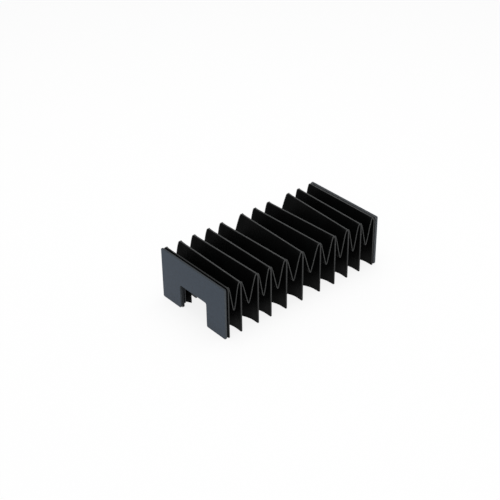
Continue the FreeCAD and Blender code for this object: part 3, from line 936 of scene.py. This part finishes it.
def flange(name, x):
    """The glued end of the cloth, flat at x."""
    slot_half = HALF_WIDTH - FOLD_DEPTH
    slot_top = TOP - FOLD_DEPTH
    outline = [(-HALF_WIDTH, FOOT)]
    for side in (-1, 1):
        for step in range(CORNER_STEPS + 1):
            share = step / CORNER_STEPS
            turn = math.pi / 2 * (share if side < 0 else 1 - share)
            outline.append((
                side * (HALF_WIDTH - CREST_CORNER + CREST_CORNER * math.cos(turn)),
                TOP - CREST_CORNER + CREST_CORNER * math.sin(turn),
            ))
    outline += [(HALF_WIDTH, FOOT), (slot_half, FOOT), (slot_half, slot_top)]
    outline += [(-slot_half, slot_top), (-slot_half, FOOT)]
    mesh = bpy.data.meshes.new(name)
    mesh.from_pydata([(x, y, z) for y, z in outline], [], [list(range(len(outline)))])
    mesh.materials.append(CLOTH_FINISH)
    piece = in_scene(name, mesh)
    thicken(piece)
    return piece


FRONT_FLANGE = flange("front_flange", RIDGES[0][0] - MIDDLE_OF_CLOTH)
REAR_FLANGE = flange("rear_flange", RIDGES[-1][0] + MIDDLE_OF_CLOTH)
print("a flange's outline has", len(FRONT_FLANGE.data.vertices), "points")

# %% [markdown]
# ## What moves with what
#
# Each ridge rides on its own frame, and each end flange on the frame at its end. The folds of
# cloth and their V edges are not bound to any frame: their place is baked into their meshes, and
# they stay where they are made.

for number, crest in enumerate(CRESTS):
    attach(crest, BODY_OF_RIDGE[number])
for piece, body in ((FRONT_FLANGE, BODY_OF_RIDGE[0]), (REAR_FLANGE, BODY_OF_RIDGE[-1])):
    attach(piece, body)


def bend_between(piece):
    """Bakes a piece's place into its mesh. The piece is not bound to its frames and does not
    bend.
    """
    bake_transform(piece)


for number, (cloth, edges) in enumerate(zip(FOLDS, FOLD_EDGES), start=1):
    bend_between(cloth)
    bend_between(edges)
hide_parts("bellows_skin")

# %% [markdown]
# ## The flat cut
#
# The real cover is one strip of cloth. Laid flat, a fold is two panels wide, and as long as
# the way up one leg, across the roof and down the other. The script doesn't lay it out flat: it
# only lists, for each fold, the pieces that lie on it.


for number, (cloth, edges) in enumerate(zip(FOLDS, FOLD_EDGES), start=1):
    on_it = [edges, CRESTS[number]]
    if number == 1:
        on_it += [CRESTS[0], FRONT_FLANGE]
    if number == len(FOLDS):
        on_it.append(REAR_FLANGE)

# %% [markdown]
# ## Floor
#
# The cover stands on plain white. White could be had with strong lamps, but they would turn the
# black cloth grey. So the floor is white paint with a glow of its own, which is there only for
# the camera and in reflections. It gives the cover no more light than paint does. A part of the
# paint is seen too, so that the floor keeps the cover's shadow.

# %% Floor
FLOOR_REACH = 6.0
FLOOR_DROP = 0.02 * MM      # how far the floor is below the cover's feet
FLOOR_GLOW = 0.85


def seen_directly(tree):
    """1 for a ray from the camera, a mirror or glass, and 0 for the light on the cover."""
    ray = add(tree, "ShaderNodeLightPath")
    either = add(tree, "ShaderNodeMath", {
        0: ray.outputs["Is Camera Ray"], 1: ray.outputs["Is Glossy Ray"]}, operation="MAXIMUM")
    return add(tree, "ShaderNodeMath", {
        0: either.outputs[0], 1: ray.outputs["Is Transmission Ray"]},
        operation="MAXIMUM").outputs[0]


def white_floor():
    """White paint that takes a shadow, with a glow of its own where it is seen directly."""
    material, tree, shader = new_finish("white_floor")
    tree.nodes.remove(shader)
    paint = add(tree, "ShaderNodeBsdfDiffuse", {"Color": linear("#FFFFFF")})
    glow = add(tree, "ShaderNodeEmission", {"Color": linear("#FFFFFF"), "Strength": 1.0})
    share = add(tree, "ShaderNodeMath", {0: seen_directly(tree), 1: FLOOR_GLOW},
                operation="MULTIPLY")
    mixed = add(tree, "ShaderNodeMixShader", {
        0: share.outputs[0], 1: paint.outputs[0], 2: glow.outputs[0]})
    tree.links.new(mixed.outputs[0], tree.nodes["Material Output"].inputs["Surface"])
    return material


floor_mesh = bpy.data.meshes.new("floor")
floor_mesh.from_pydata(
    [(x, y, -FLOOR_DROP) for x, y in (
        (-FLOOR_REACH, -FLOOR_REACH), (FLOOR_REACH, -FLOOR_REACH),
        (FLOOR_REACH, FLOOR_REACH), (-FLOOR_REACH, FLOOR_REACH))],
    [], [(0, 1, 2, 3)])
floor_mesh.materials.append(white_floor())
floor = in_scene("floor", floor_mesh)
print("floor in m:", 2 * FLOOR_REACH, "by", 2 * FLOOR_REACH)

# %% [markdown]
# ## Sky and lamps
#
# A large soft lamp hangs above the cover, and a weaker one stands at its front left for the
# flank and the end plate. The sky is made as the floor is: white where it is seen, and a mid
# grey in the light that it gives.

# %% Sky and lamps
SKY_LEVEL = 0.45

world = bpy.data.worlds.new("studio")
bpy.context.scene.world = world
world.use_nodes = True
sky_tree = world.node_tree
sky = sky_tree.nodes["Background"]
level = add(sky_tree, "ShaderNodeMapRange", {
    "Value": seen_directly(sky_tree), "To Min": SKY_LEVEL, "To Max": 1.0})
sky_tree.links.new(level.outputs["Result"], sky.inputs["Strength"])
sky.inputs["Color"].default_value = linear("#FFFFFF")


def soft_box(name, place, aim, side, power):
    """A square lamp, side metres wide, that looks from place to aim."""
    light = bpy.data.lights.new(name, "AREA")
    light.shape = "SQUARE"
    light.size = side
    light.energy = power
    lamp = in_scene(name, light)
    lamp.location = place
    lamp.rotation_mode = "QUATERNION"
    lamp.rotation_quaternion = (Vector(aim) - Vector(place)).to_track_quat("-Z", "Y")
    print(name, "lamp:", power, "W")


soft_box("overhead", place=(0.1, 0.1, 1.3), aim=(0, 0, 0), side=1.2, power=11.0)
soft_box("fill", place=(-0.9, -1.1, 0.7), aim=(0, 0, 0.03), side=0.8, power=3.0)
